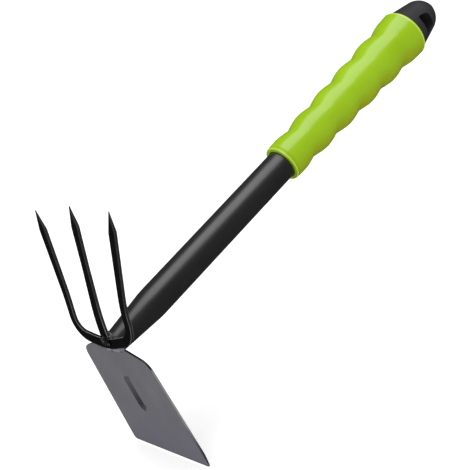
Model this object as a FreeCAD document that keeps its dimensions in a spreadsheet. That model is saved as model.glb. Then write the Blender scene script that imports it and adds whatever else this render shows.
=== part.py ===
import FreeCAD, Part
import math
import os
import Sketcher

# Double hoe: a flat hoe blade and a three-tined fork welded to a steel tube with a moulded handle.
# Frame: the origin is at the middle of the hanging hole, +X runs along the tube from the head to the
# hanging hole, +Z points the way the tines do and +Y across. Everything is in millimetres and degrees.

SIZES = {
    # Tube, measured from its nominal front end
    "tube_diameter": 20.0,
    "tube_wall": 1.5,
    "tube_front_diameter": 14.0,
    "swage_length": 33.0,
    "swage_blend_radius": 60.0,
    "tube_length": 283.0,
    # Sheets of the head
    "fork_thickness": 2.1,
    "blade_thickness": 1.5,
    "fork_setback": 4.4,
    "blade_setback": 3.5,
    # Fork, in the plane of the bridge's front face
    "fork_lean_angle": 16.9,
    "tine_bend_angle": 8.3,
    "tine_bend_height": 18.0,
    "tine_bend_radius": 140.0,
    "fork_turn_angle": 4.0,
    "fork_half_width": 31.0,
    "fork_height": 84.0,
    "tip_half_spread": 39.1,
    "bridge_height": -1.0,
    "bridge_width": 6.6,
    "bridge_rise": 6.5,
    "bridge_radius": 55.0,
    "arm_width": 5.0,
    "arm_bend_height": 28.0,
    "arm_bend_radius": 80.0,
    "outer_corner_radius": 16.0,
    "inner_corner_radius": 9.0,
    "tine_width": 5.4,
    "tip_width": 6.0,
    "tip_length": 12.4,
    "tip_shoulder_radius": 3.0,
    "tip_thickness": 0.8,
    # Middle tine, which stands on the inner edge of the bridge
    "middle_height": 86.8,
    "middle_foot_width": 7.4,
    "middle_neck_height": 50.0,
    # Blade, in the plane of its front face
    "blade_lean_angle": 7.84,
    "blade_height": 80.3,
    "blade_neck_drop": 2.8,
    "blade_neck_half_width": 17.3,
    "blade_top_half_width": 35.9,
    "blade_edge_half_width": 41.3,
    "blade_shoulder_drop": 5.2,
    "blade_shoulder_radius": 9.0,
    "blade_corner_radius": 2.4,
    "bevel_length": 9.0,
    "edge_thickness": 0.5,
    # Pressed rib of the blade
    "rib_drop": 35.0,
    "rib_length": 28.0,
    "rib_width": 12.0,
    "rib_depth": 1.8,
    "rib_wall_run": 2.6,
    # Welds
    "neck_weld_drop": 1.0,
    "neck_weld_reach": 1.8,
    "ring_weld_reach": 2.6,
    "ring_weld_crest": 1.3,
    "foot_weld_margin": 1.6,
    "foot_weld_reach": 3.2,
    "foot_weld_corner_radius": 2.8,
    "foot_weld_height": 1.7,
    "foot_weld_bevel": 1.1,
    # Handle, measured from the front face of the grip
    "handle_start": 160.0,
    "grip_length": 137.0,
    "grip_front_radius": 13.0,
    "grip_rear_radius": 17.5,
    "grip_end_bevel": 1.8,
    "grip_lip_length": 3.0,
    "grip_lip_gap": 0.25,
    "first_groove": 20.3,
    "groove_pitch": 23.9,
    "groove_depth": 1.3,
    "core_radius": 11.3,
    "fit_clearance": 0.1,
    # Cap at the end of the core, with the hanging hole
    "cap_length": 30.0,
    "cap_front_radius": 16.2,
    "cap_shoulder_length": 23.2,
    "cap_shoulder_radius": 11.2,
    "cap_shoulder_rounding": 14.8,
    "cap_nose_radius": 3.2,
    "cap_nose_rounding": 7.0,
    "hole_inset": 6.6,
    "hole_length": 9.6,
    "hole_width": 15.6,
    "hole_far_width": 9.6,
    "hole_corner_radius": 1.4,
    "hole_far_radius": 3.6,
    # Cuts run this far past what they cut
    "overrun": 60.0,
}

GROOVE_COUNT = 5

# How much of the grip's growth from front to rear comes late, as in a slight flare
FLARE_SHARE = 0.25

# A groove slopes down over this share of the pitch on each side, and a lobe's crest is as long again
SLOPE_SHARE = 1 / 3

# The waist of a tine is this share of the way from the bend of its arm up to the shoulder of its point
WAIST_SHARE = 0.25

# The bulge behind the rib is wider than the dent by this share of the sheet, so the wall stays as thick
BULGE_SHARE = 1 / 3

# The rib's ends are rounded by this share of its half width
RIB_END_SHARE = 0.875

DEGREES = 180 / math.pi


class Size:
    """A size with its value now and the formula on the sheet's cells that gives it."""

    def __init__(self, value, formula=None):
        self.value = float(value)
        self.formula = formula or f"({float(value)!r})"

    @staticmethod
    def of(thing):
        return thing if isinstance(thing, Size) else Size(thing)

    def join(self, sign, other, value):
        return Size(value, f"({self.formula} {sign} {other.formula})")

    def __add__(self, other):
        other = Size.of(other)
        return self.join("+", other, self.value + other.value)

    def __sub__(self, other):
        other = Size.of(other)
        return self.join("-", other, self.value - other.value)

    def __mul__(self, other):
        other = Size.of(other)
        return self.join("*", other, self.value * other.value)

    def __truediv__(self, other):
        other = Size.of(other)
        return self.join("/", other, self.value / other.value)

    def __radd__(self, other):
        return Size.of(other) + self

    def __rsub__(self, other):
        return Size.of(other) - self

    def __rmul__(self, other):
        return Size.of(other) * self

    def __neg__(self):
        return Size(-self.value, f"(-{self.formula})")


def cosine(angle):
    return Size(math.cos(math.radians(angle.value)), f"cos({angle.formula})")


def tangent(angle):
    return Size(math.tan(math.radians(angle.value)), f"tan({angle.formula})")


ZERO = Size(0)


class Sheet:
    """The sizes by name, each bound to its own cell of the spreadsheet."""

    def __init__(self, doc):
        cells = doc.addObject("Spreadsheet::Sheet", "Sizes")
        for row, (alias, value) in enumerate(SIZES.items(), start=1):
            cells.set(f"A{row}", alias)
            cells.set(f"B{row}", str(value))
            cells.setAlias(f"B{row}", alias)
            setattr(self, alias, Size(value, f"Sizes.{alias}"))


def bind(thing, path, size):
    """Give a property or a constraint its value and the formula behind it."""
    thing.setExpression(path, size.formula)


def place(thing, along=ZERO, up=ZERO, turn=ZERO, lean=ZERO, hang=ZERO):
    """Place a thing by its distance from the tube's nominal front end, its height, turn and lean."""
    spot = f"vector({(along - hang).formula}; 0; {up.formula})"
    thing.setExpression("Placement", f"placement({spot}; rotation({turn.formula}; {lean.formula}; 0))")


def new_body(doc, name):
    body = doc.addObject("PartDesign::Body", name)
    body.Label = name
    return body


def new_sketch(body, name, role, offset=None):
    """Start a sketch on one of the body's own origin planes, moved along its normal by the offset."""
    sketch = body.newObject("Sketcher::SketchObject", name)
    plane = next(item for item in body.Origin.OriginFeatures if item.Role == role)
    sketch.AttachmentSupport = [(plane, "")]
    sketch.MapMode = "FlatFace"
    if offset is not None:
        bind(sketch, "AttachmentOffset.Base.z", offset)
    return sketch


def limit(sketch, kind, *items):
    """Add a constraint whose last item is a size, bound to the sheet."""
    *references, size = items
    index = sketch.addConstraint(Sketcher.Constraint(kind, *references, size.value))
    if "Sizes." in size.formula:
        bind(sketch, f"Constraints[{index}]", size)


def fix_point(sketch, item, end, across, up):
    """Fix a point of the sketch by its two distances from the sketch's origin."""
    limit(sketch, "DistanceX", -1, 1, item, end, across)
    limit(sketch, "DistanceY", -1, 1, item, end, up)


def corner_ends(before, corner, after, radius):
    """The two tangent points and the centre of the arc that rounds a corner, and which way it turns."""
    here = FreeCAD.Vector(corner[0].value, corner[1].value, 0)
    back = (FreeCAD.Vector(before[0].value, before[1].value, 0) - here).normalize()
    onward = (FreeCAD.Vector(after[0].value, after[1].value, 0) - here).normalize()
    half = back.getAngle(onward) / 2
    reach = radius.value / math.tan(half)
    middle = here + (back + onward).normalize() * (radius.value / math.sin(half))
    left = back.cross(onward).z < 0
    return here + back * reach, here + onward * reach, middle, left


def outline(sketch, corners):
    """Draw a closed outline through corners (across, up, radius); a corner with no radius stays sharp."""
    count = len(corners)
    plans = []
    for index, corner in enumerate(corners):
        if corner[2] is None:
            spot = FreeCAD.Vector(corner[0].value, corner[1].value, 0)
            plans.append((spot, spot, None, None))
        else:
            plans.append(corner_ends(corners[index - 1], corner, corners[(index + 1) % count], corner[2]))
    lines = []
    for index in range(count):
        start, end = plans[index][1], plans[(index + 1) % count][0]
        lines.append(sketch.addGeometry(Part.LineSegment(start, end), False))
    for index, (across, up, radius) in enumerate(corners):
        before, after = lines[index - 1], lines[index]
        if radius is None:
            sketch.addConstraint(Sketcher.Constraint("Coincident", before, 2, after, 1))
            fix_point(sketch, after, 1, across, up)
        else:
            round_corner(sketch, before, after, corners[index], plans[index])
    sketch.solve()


def round_corner(sketch, before, after, corner, plan):
    """Join two lines of an outline by a tangent arc, with the sharp corner kept as a helper point."""
    across, up, radius = corner
    start, end, middle, left = plan
    first, last = (start, end) if left else (end, start)
    angles = [math.atan2(spot.y - middle.y, spot.x - middle.x) for spot in (first, last)]
    circle = Part.Circle(middle, FreeCAD.Vector(0, 0, 1), radius.value)
    arc = sketch.addGeometry(Part.ArcOfCircle(circle, *angles), False)
    enter, leave = (1, 2) if left else (2, 1)
    helper = sketch.addGeometry(Part.Point(FreeCAD.Vector(across.value, up.value, 0)), True)
    sketch.addConstraint([
        Sketcher.Constraint("Tangent", before, 2, arc, enter),
        Sketcher.Constraint("Tangent", arc, leave, after, 1),
        Sketcher.Constraint("PointOnObject", helper, 1, before),
        Sketcher.Constraint("PointOnObject", helper, 1, after),
    ])
    limit(sketch, "Radius", arc, radius)
    fix_point(sketch, helper, 1, across, up)


def mirrored(corners):
    """Complete half an outline, whose first and last corners lie on the middle line, by its mirror image."""
    return corners + [(-across, up, radius) for across, up, radius in reversed(corners[1:-1])]


def pad(body, sketch, name, length, reverse=False, middle=False):
    feature = body.newObject("PartDesign::Pad", name)
    feature.Profile = sketch
    feature.Reversed = reverse
    feature.SideType = "Symmetric" if middle else "One side"
    bind(feature, "Length", length)
    return feature


def cut_through(body, sketch, name, length):
    """Cut a sketch's outline out of the body, the same length each side of the sketch."""
    feature = body.newObject("PartDesign::Pocket", name)
    feature.Profile = sketch
    feature.SideType = "Symmetric"
    bind(feature, "Length", length)
    return feature


def turned(body, sketch, name):
    """Turn a sketch on the XZ plane once round the body's X axis."""
    feature = body.newObject("PartDesign::Revolution", name)
    feature.Profile = sketch
    feature.ReferenceAxis = (sketch, ["H_Axis"])
    feature.Angle = 360
    return feature


def cut(doc, name, base, tools):
    """A piece that is one solid less one or more others."""
    if len(tools) > 1:
        tool = doc.addObject("Part::MultiFuse", f"{name}_tools")
        tool.Shapes = tools
    else:
        tool = tools[0]
    piece = doc.addObject("Part::Cut", name)
    piece.Label = name
    piece.Base = base
    piece.Tool = tool
    return piece


def shared(doc, name, front_view, side_view):
    """A piece that has one solid's outline from the front and another's from the side."""
    piece = doc.addObject("Part::Common", name)
    piece.Label = name
    piece.Base = front_view
    piece.Tool = side_view
    return piece


def hang_distance(d):
    """From the tube's nominal front end to the middle of the hanging hole."""
    return d.handle_start + d.grip_length + d.hole_inset + d.hole_length / 2


def make_tube(doc, d):
    """The swaged tube, longer at its front end than the head lets it stay."""
    body = new_body(doc, "tube_blank")
    outer, front = d.tube_diameter / 2, d.tube_front_diameter / 2
    slope = (outer - front) / d.swage_length
    spare = front
    start = -spare
    corners = [
        (start, front - slope * spare, None),
        (d.swage_length, outer, d.swage_blend_radius),
        (d.tube_length, outer, None),
        (d.tube_length, outer - d.tube_wall, None),
        (d.swage_length, outer - d.tube_wall, d.swage_blend_radius),
        (start, front - slope * spare - d.tube_wall, None),
    ]
    sketch = new_sketch(body, "tube_profile", "XZ_Plane")
    outline(sketch, corners)
    turned(body, sketch, "tube_turned")
    place(body, hang=hang_distance(d))
    return body


def place_on_fork(thing, d):
    place(thing, -d.fork_setback, turn=d.fork_turn_angle, lean=d.fork_lean_angle, hang=hang_distance(d))


def place_on_blade(thing, d):
    place(thing, -d.blade_setback, lean=d.blade_lean_angle, hang=hang_distance(d))


def make_front_space(doc, d, name, back, put):
    """The space before the back face of a sheet, which nothing behind the sheet may enter."""
    body = new_body(doc, name)
    sketch = new_sketch(body, f"{name}_outline", "XZ_Plane")
    far = d.overrun
    outline(sketch, [(back, -far, None), (back, far, None), (-far, far, None), (-far, -far, None)])
    pad(body, sketch, f"{name}_pad", far, middle=True)
    put(body, d)
    return body


def tine_edge(d, centre, slope, shoulder, side):
    """The corners of one edge of a tine, from its waist up to the shoulder of its point."""
    drop = (shoulder - d.arm_bend_height) * (1 - WAIST_SHARE)
    waist = centre - slope * (d.tip_length + drop) + side * d.tine_width / 2
    return [
        (waist, shoulder - drop, d.arm_bend_radius),
        (centre - slope * d.tip_length + side * d.tip_width / 2, shoulder, d.tip_shoulder_radius),
    ]


def make_bent_sheet(doc, d, name, tip):
    """The side view of the fork's sheet, bent back and ground thin behind its points, drawn out sideways."""
    body = new_body(doc, name)
    thick, bend, low = d.fork_thickness, d.tine_bend_height, -d.overrun
    slope = tangent(d.tine_bend_angle)
    shoulder = tip - d.tip_length
    corners = [
        (thick, low, None),
        (thick, bend - thick * tangent(d.tine_bend_angle / 2), d.tine_bend_radius - thick),
        ((shoulder - bend) * slope + thick / cosine(d.tine_bend_angle), shoulder, None),
        ((tip - bend) * slope + d.tip_thickness, tip, None),
        ((tip - bend) * slope, tip, None),
        (ZERO, bend, d.tine_bend_radius),
        (ZERO, low, None),
    ]
    sketch = new_sketch(body, f"{name}_side", "XZ_Plane")
    outline(sketch, corners)
    pad(body, sketch, f"{name}_pad", d.overrun * 2, middle=True)
    place_on_fork(body, d)
    return body


def make_outer_tines(doc, d):
    """The stamped U of the two outer tines and the bridge between them."""
    body = new_body(doc, "fork_front_view")
    low, side = d.bridge_height, d.fork_half_width
    inner = side - d.arm_width
    shoulder = d.fork_height - d.tip_length
    slope = (d.tip_half_spread - side + d.arm_width / 2) / (d.fork_height - d.arm_bend_height)
    outer_edge = tine_edge(d, d.tip_half_spread, slope, shoulder, 1)
    inner_edge = tine_edge(d, d.tip_half_spread, slope, shoulder, -1)
    top = low + d.bridge_width
    corners = [
        (ZERO, low, d.bridge_radius),
        (side, low + d.bridge_rise, d.outer_corner_radius),
        (side, d.arm_bend_height, d.arm_bend_radius),
        *outer_edge,
        (d.tip_half_spread, d.fork_height, None),
        *reversed(inner_edge),
        (inner, d.arm_bend_height, d.arm_bend_radius),
        (inner, top + d.bridge_rise * inner / side, d.inner_corner_radius),
        (ZERO, top, d.bridge_radius),
    ]
    sketch = new_sketch(body, "fork_outline", "YZ_Plane")
    outline(sketch, mirrored(corners))
    pad(body, sketch, "fork_outline_pad", d.overrun, middle=True)
    place_on_fork(body, d)
    return shared(doc, "outer_tines", body, make_bent_sheet(doc, d, "fork_sheet", d.fork_height))


def make_middle_tine(doc, d, outer_tines):
    """The middle tine, whose foot follows the inner edge of the bridge that it stands on."""
    body = new_body(doc, "middle_front_view")
    half_foot = d.middle_foot_width / 2
    foot = d.bridge_height + d.bridge_width / 2
    shoulder = d.middle_height - d.tip_length
    edge = tine_edge(d, ZERO, ZERO, shoulder, 1)
    corners = [
        (ZERO, foot, None),
        (half_foot, foot, None),
        (d.tine_width / 2, d.middle_neck_height, d.arm_bend_radius),
        edge[1],
        (ZERO, d.middle_height, None),
    ]
    sketch = new_sketch(body, "middle_outline", "YZ_Plane")
    outline(sketch, mirrored(corners))
    pad(body, sketch, "middle_outline_pad", d.overrun, middle=True)
    place_on_fork(body, d)
    blank = shared(doc, "middle_blank", body, make_bent_sheet(doc, d, "middle_sheet", d.middle_height))
    return cut(doc, "middle_tine", blank, [outer_tines])


def make_foot_weld(doc, d):
    """The raised bead over the joint of the middle tine and the bridge, on their front faces."""
    body = new_body(doc, "middle_tine_weld")
    half = d.middle_foot_width / 2 + d.foot_weld_margin
    joint = d.bridge_height + d.bridge_width
    low, high = joint - d.foot_weld_reach, joint + d.foot_weld_reach
    corners = [
        (ZERO, low, None),
        (half, low, d.foot_weld_corner_radius),
        (half, high, d.foot_weld_corner_radius),
        (ZERO, high, None),
    ]
    sketch = new_sketch(body, "foot_bead_outline", "YZ_Plane")
    outline(sketch, mirrored(corners))
    bead = pad(body, sketch, "foot_bead_pad", d.foot_weld_height, reverse=True)
    doc.recompute()
    faces = bead.Shape.Faces
    front = min(range(len(faces)), key=lambda index: faces[index].CenterOfMass.x)
    bevel = body.newObject("PartDesign::Chamfer", "foot_bead_bevel")
    bevel.Base = (bead, [f"Face{front + 1}"])
    bind(bevel, "Size", d.foot_weld_bevel)
    place_on_fork(body, d)
    return body


def make_blade(doc, d):
    """The flat blade with its pressed rib and the bevel along its cutting edge."""
    body = new_body(doc, "hoe_blade")
    neck_end = d.bridge_rise * d.blade_neck_half_width / d.fork_half_width - d.blade_neck_drop
    corners = [
        (ZERO, -d.blade_neck_drop, d.bridge_radius),
        (d.blade_neck_half_width, neck_end, None),
        (d.blade_top_half_width, -d.blade_shoulder_drop, d.blade_shoulder_radius),
        (d.blade_edge_half_width, -d.blade_height, d.blade_corner_radius),
        (ZERO, -d.blade_height, None),
    ]
    sketch = new_sketch(body, "blade_outline", "YZ_Plane")
    outline(sketch, mirrored(corners))
    pad(body, sketch, "blade_sheet", d.blade_thickness)
    press_rib(doc, body, d)
    bevel_edge(body, d)
    place_on_blade(body, d)
    return body


def rib_section(body, d, name, depth, grown):
    """An outline of the rib with round ends, at a depth behind the front face, grown on all sides."""
    width, length = d.rib_width / 2 + grown, d.rib_length / 2 + grown
    sketch = new_sketch(body, name, "YZ_Plane", depth)
    radius = width * RIB_END_SHARE
    corners = [
        (ZERO, -d.rib_drop + length, None),
        (width, -d.rib_drop + length, radius),
        (width, -d.rib_drop - length, radius),
        (ZERO, -d.rib_drop - length, None),
    ]
    outline(sketch, mirrored(corners))
    return sketch


def press_rib(doc, body, d):
    """Push the sheet back along the rib: a dent in its front face and the bulge it makes behind."""
    wall = d.blade_thickness * BULGE_SHARE
    steps = [
        ("bulge", "PartDesign::AdditiveLoft", d.blade_thickness, wall),
        ("dent", "PartDesign::SubtractiveLoft", ZERO, ZERO),
    ]
    for name, kind, level, grown in steps:
        mouth = rib_section(body, d, f"{name}_mouth", level, grown)
        floor = rib_section(body, d, f"{name}_floor", level + d.rib_depth, grown - d.rib_wall_run)
        loft = body.newObject(kind, name)
        loft.Profile = mouth
        loft.Sections = [floor]
        doc.recompute()


def bevel_edge(body, d):
    """Cut the bevel behind the cutting edge."""
    thin = d.blade_thickness - d.edge_thickness
    back, low, reach = d.blade_thickness, -d.blade_height, d.bevel_length
    sketch = new_sketch(body, "bevel_section", "XZ_Plane")
    corners = [
        (back - 2 * thin, low - reach, None),
        (back + thin, low - reach, None),
        (back + thin, low + reach, None),
        (back, low + reach, None),
    ]
    outline(sketch, corners)
    cut_through(body, sketch, "bevel", d.overrun * 2)


def make_shaft_weld(doc, d, neighbours):
    """The ring bead in the corner between the tube and the backs of the two sheets, with a bent slope."""
    body = new_body(doc, "ring_bead")
    reach, crest = d.ring_weld_reach, d.ring_weld_crest
    wall = d.tube_front_diameter / 2
    root_radius = wall - crest / 4
    corners = [
        (-crest, root_radius, None),
        (reach, root_radius, None),
        (reach, wall, None),
        (crest, wall + crest, None),
        (ZERO, wall + reach, None),
        (-crest, wall + reach, None),
    ]
    sketch = new_sketch(body, "ring_bead_section", "XZ_Plane")
    outline(sketch, corners)
    turned(body, sketch, "ring_bead_turned")
    lean = (d.fork_lean_angle + d.blade_lean_angle) / 2
    along = d.blade_thickness - d.blade_setback
    place(body, along, lean=lean, hang=hang_distance(d))
    return cut(doc, "shaft_weld", body, neighbours)


def make_blade_weld(doc, d, neighbours):
    """The crescent bead between the bridge of the fork and the neck of the blade."""
    body = new_body(doc, "neck_bead")
    level, middle, reach = -d.neck_weld_drop, d.blade_thickness / 2, d.neck_weld_reach
    corners = [
        (middle - reach, level - reach / 2, None),
        (middle, level - reach, None),
        (middle + reach, level - reach / 2, None),
        (middle + reach, level + reach / 2, None),
        (middle, level + reach, None),
        (middle - reach, level + reach / 2, None),
    ]
    sketch = new_sketch(body, "neck_bead_section", "XZ_Plane")
    outline(sketch, corners)
    turn_at = level + d.bridge_radius
    start = FreeCAD.Vector(0, turn_at.value, 0)
    end = FreeCAD.Vector(d.blade_thickness.value, turn_at.value, 0)
    axis = sketch.addGeometry(Part.LineSegment(start, end), True)
    fix_point(sketch, axis, 1, ZERO, turn_at)
    fix_point(sketch, axis, 2, d.blade_thickness, turn_at)
    bead = body.newObject("PartDesign::Revolution", "neck_bead_turned")
    bead.Profile = sketch
    bead.ReferenceAxis = (sketch, ["Axis0"])
    bead.Midplane = True
    spread = d.blade_neck_half_width / d.bridge_radius * 2
    bind(bead, "Angle", spread * DEGREES)
    place_on_blade(body, d)
    return cut(doc, "blade_weld", body, neighbours)


def make_core(doc, d):
    """The hard core over the tube, with the cap and its hanging hole."""
    body = new_body(doc, "handle_core")
    front, seam = d.grip_lip_length, d.grip_length
    end = seam + d.cap_length
    tube_end = d.tube_length - d.handle_start
    bore = d.tube_diameter / 2 + d.fit_clearance
    corners = [
        (front, bore, None),
        (front, d.core_radius, None),
        (seam, d.core_radius, None),
        (seam, d.cap_front_radius, None),
        (seam + d.cap_shoulder_length, d.cap_shoulder_radius, d.cap_shoulder_rounding),
        (end, d.cap_nose_radius, d.cap_nose_rounding),
        (end, ZERO, None),
        (tube_end, ZERO, None),
        (tube_end, bore, None),
    ]
    sketch = new_sketch(body, "core_profile", "XZ_Plane")
    outline(sketch, corners)
    turned(body, sketch, "core_turned")
    near = seam + d.hole_inset
    hole = [
        (near, d.hole_width / 2, d.hole_corner_radius),
        (near, -d.hole_width / 2, d.hole_corner_radius),
        (near + d.hole_length, -d.hole_far_width / 2, d.hole_far_radius),
        (near + d.hole_length, d.hole_far_width / 2, d.hole_far_radius),
    ]
    sketch = new_sketch(body, "hole_outline", "XZ_Plane")
    outline(sketch, hole)
    cut_through(body, sketch, "hanging_hole", d.cap_front_radius * 2 + d.overrun)
    place(body, d.handle_start, hang=hang_distance(d))
    return body


def grip_radius(d, along):
    """The radius over the crests of the grip, at a distance from its front face."""
    share = along / d.grip_length
    return d.grip_front_radius + (d.grip_rear_radius - d.grip_front_radius) * share * (
        1 - FLARE_SHARE + FLARE_SHARE * share)


def make_sleeve(doc, d):
    """The soft grip: broad lobes between ring grooves, growing towards the rear."""
    body = new_body(doc, "grip_sleeve")
    bevel, seam, lip = d.grip_end_bevel, d.grip_length, d.grip_lip_length
    lip_bore = d.tube_diameter / 2 + d.grip_lip_gap
    core_bore = d.core_radius + d.fit_clearance
    slope_run = d.groove_pitch * SLOPE_SHARE
    corners = [
        (ZERO, lip_bore, None),
        (ZERO, d.grip_front_radius - bevel, None),
        (bevel, grip_radius(d, bevel), None),
    ]
    for index in range(GROOVE_COUNT):
        groove = d.first_groove + d.groove_pitch * index
        before, after = groove - slope_run, groove + slope_run
        corners += [
            (before, grip_radius(d, before), None),
            (groove, grip_radius(d, groove) - d.groove_depth, None),
            (after, grip_radius(d, after), None),
        ]
    corners += [
        (seam - bevel, grip_radius(d, seam - bevel), None),
        (seam, d.grip_rear_radius - bevel, None),
        (seam, core_bore, None),
        (lip, core_bore, None),
        (lip, lip_bore, None),
    ]
    sketch = new_sketch(body, "grip_profile", "XZ_Plane")
    outline(sketch, corners)
    turned(body, sketch, "grip_turned")
    place(body, d.handle_start, hang=hang_distance(d))
    return body


def build(doc):
    """Build every piece and return the ones that are kept, each by its label."""
    d = Sheet(doc)
    doc.recompute()
    outer_tines = make_outer_tines(doc, d)
    middle_tine = make_middle_tine(doc, d, outer_tines)
    blade = make_blade(doc, d)
    spaces = [
        make_front_space(doc, d, "fork_front_space", d.fork_thickness, place_on_fork),
        make_front_space(doc, d, "blade_front_space", d.blade_thickness, place_on_blade),
    ]
    tube = cut(doc, "shaft_tube", make_tube(doc, d), spaces)
    shaft_weld = make_shaft_weld(doc, d, [*spaces, tube, middle_tine])
    foot_weld = make_foot_weld(doc, d)
    neighbours = [outer_tines, middle_tine, blade, tube, shaft_weld, foot_weld]
    blade_weld = make_blade_weld(doc, d, neighbours)
    pieces = [tube, blade, outer_tines, middle_tine, foot_weld, blade_weld, shaft_weld]
    return pieces + [make_core(doc, d), make_sleeve(doc, d)]


def check(doc, pieces):
    """Stop if any object failed or any piece is empty, broken or more than one solid."""
    for item in doc.Objects:
        if "Invalid" in item.State or "Error" in item.State:
            raise RuntimeError(f"{item.Label} failed: {item.State}")
    for piece in pieces:
        shape = piece.Shape
        if shape.isNull() or not shape.isValid() or len(shape.Solids) != 1:
            raise RuntimeError(f"{piece.Label} isn't one valid solid")


def write(pieces):
    os.makedirs("parts", exist_ok=True)
    for piece in pieces:
        piece.Shape.exportStep(f"parts/{piece.Label}.step")
        box = piece.Shape.BoundBox
        print(f"{piece.Label}: {box.XMin:.1f}..{box.XMax:.1f}, {box.YMin:.1f}..{box.YMax:.1f}, "
              f"{box.ZMin:.1f}..{box.ZMax:.1f} mm, {piece.Shape.Volume / 1000:.2f} cm3")


def main():
    doc = FreeCAD.newDocument("DoubleHoe")
    pieces = build(doc)
    doc.recompute()
    check(doc, pieces)
    write(pieces)


main()
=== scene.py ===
import math

import bmesh
import bpy
from bpy.props import FloatProperty, FloatVectorProperty, IntProperty, PointerProperty
from mathutils import Matrix, Vector


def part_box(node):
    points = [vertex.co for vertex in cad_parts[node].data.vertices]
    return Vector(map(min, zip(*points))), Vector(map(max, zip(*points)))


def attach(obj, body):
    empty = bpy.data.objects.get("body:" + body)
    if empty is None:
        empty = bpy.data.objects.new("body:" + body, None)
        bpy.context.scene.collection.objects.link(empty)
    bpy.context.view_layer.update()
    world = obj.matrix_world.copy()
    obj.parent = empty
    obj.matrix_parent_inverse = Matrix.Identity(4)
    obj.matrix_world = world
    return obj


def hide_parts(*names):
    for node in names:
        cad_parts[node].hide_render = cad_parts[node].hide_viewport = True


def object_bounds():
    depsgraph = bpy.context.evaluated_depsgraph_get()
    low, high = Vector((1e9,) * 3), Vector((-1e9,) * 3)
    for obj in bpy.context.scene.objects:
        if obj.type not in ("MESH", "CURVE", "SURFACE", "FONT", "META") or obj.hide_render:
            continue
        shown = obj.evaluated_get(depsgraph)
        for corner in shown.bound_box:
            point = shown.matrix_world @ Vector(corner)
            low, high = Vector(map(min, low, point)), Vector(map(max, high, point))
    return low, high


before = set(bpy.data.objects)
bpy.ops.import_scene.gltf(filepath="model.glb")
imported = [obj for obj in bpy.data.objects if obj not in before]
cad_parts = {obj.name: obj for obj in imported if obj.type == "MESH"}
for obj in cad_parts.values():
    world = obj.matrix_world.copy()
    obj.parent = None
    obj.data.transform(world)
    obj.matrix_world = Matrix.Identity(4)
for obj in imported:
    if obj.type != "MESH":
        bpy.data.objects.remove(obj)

bl_info = {
    "name": "Double hoe",
    "version": (1, 0, 0),
    "blender": (4, 5, 0),
    "location": "View3D > Sidebar > Double hoe",
    "description": "Dresses a double hoe with a ribbed grip, painted steel head and a studio",
    "category": "Object",
}

# The frame's own sizes, in metres
CAD_BOX = [list(corner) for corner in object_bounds()]
SLEEVE_LOW, SLEEVE_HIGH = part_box("grip_sleeve")
BLADE_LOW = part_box("hoe_blade")[0]
MM = 1e-3
MICRON = 1e-6

# The head is laid out from the tube's nominal front end
TUBE_FRONT = -308.4 * MM
FORK_LEAN = math.radians(16.9)
FORK_TURN = math.radians(4.0)
BLADE_LEAN = math.radians(7.84)
FORK_SETBACK = 4.4 * MM
BLADE_SETBACK = 3.5 * MM

# How many cells with a speck of dust lie across one cloud in the paint
SPECKS_PER_CLOUD = 14

# The grip's sizes that the CAD has too
GRIP_FRONT_RADIUS = 13.0 * MM
GRIP_REAR_RADIUS = 17.5 * MM
GRIP_LIP_RADIUS = 10.25 * MM
GRIP_LIP_LENGTH = 3.0 * MM
GRIP_BORE_RADIUS = 11.4 * MM
GRIP_FLARE = 0.25

# The grip's mesh: rows along its outside, rows up each end face and points round it
GRIP_ROWS = 400
GRIP_END_ROWS = 4
GRIP_ROUND = 129

# How far the grip's rows are gathered towards its ends, from 0 for even rows
ROW_GATHERING = 0.85

# The grip's grooves: how soft their bottom is, and how fast their sides and their fading ends rise
GROOVE_SOFTNESS = 0.02
GROOVE_POWER = 1.7
FADE_POWER = 1.3

# How fast an oval falls off along the grip and round it, and how wide the rim's line is for its distance
OVAL_FALL_ALONG = 8
OVAL_FALL_ROUND = 14
RIM_LINE_SHARE = 0.3

# The weld beads: points along and round one, how abruptly a tapered end closes, the circle that is taken
# through the noise for one turn, and how far a ripple leans
BEAD_COLUMNS = 241
BEAD_ROUND = 33
BEAD_END_POWER = 6
BEAD_NOISE_RADIUS = 4
RIPPLE_SWAY = 0.8
LUMP_SUBDIVISIONS = 6

# Where the welds lie: round the tube's end, under the bridge and at the middle tine's foot
RING_RADIUS = 7.9 * MM
RING_INSET = 1.0 * MM
NECK_ARC_RADIUS = 55 * MM
NECK_ARC_HALF_LENGTH = 17.6 * MM
NECK_ARC_DROP = 1.0 * MM
HALF_BLADE_THICKNESS = 0.75 * MM
FOOT_HEIGHT = 5.6 * MM

# Points closer than this are joined: along the seams of rolled grids, and in every mesh
SEAM_DISTANCE = 2 * MICRON
JOIN_DISTANCE = 1 * MICRON

# Edges of the CAD's meshes are flat below the first angle, and sharp and eased above the second
FLAT_ANGLE = math.radians(0.3)
SHARP_ANGLE = math.radians(30)
BEVEL_SEGMENTS = 2
CORE_EASING = 0.35 * MM

# The photograph's camera: where each image axis points and where the lens is, in the row frame
IMAGE_RIGHT = Vector((0.623, -0.592, -0.5113))
IMAGE_DOWN = Vector((-0.6735, -0.0734, -0.7356))
LENS_SPOT = Vector((-0.49915, -0.59547, 0.31978))
FOCAL_PIXELS = 1200
IMAGE_PIXELS = 470
SENSOR = 36
CLIP_START = 0.01
CLIP_END = 100

# The lamps: where each lies from the middle of the tool, how far, and its sides along and across it
KEY_WAY = Vector((0.40, -0.16, 0.90))
KEY_DISTANCE = 1.2
KEY_SIZE = (1.4, 1.15)
FILL_WAY = Vector((-0.94, 0.15, 0.30))
FILL_DISTANCE = 1.1
FILL_SIZE = (0.6, 0.6)

FLOOR_HALF_SIZE = 12.0
FLOOR_MOTTLING = 0.015
WHITE = (1, 1, 1, 1)


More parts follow.
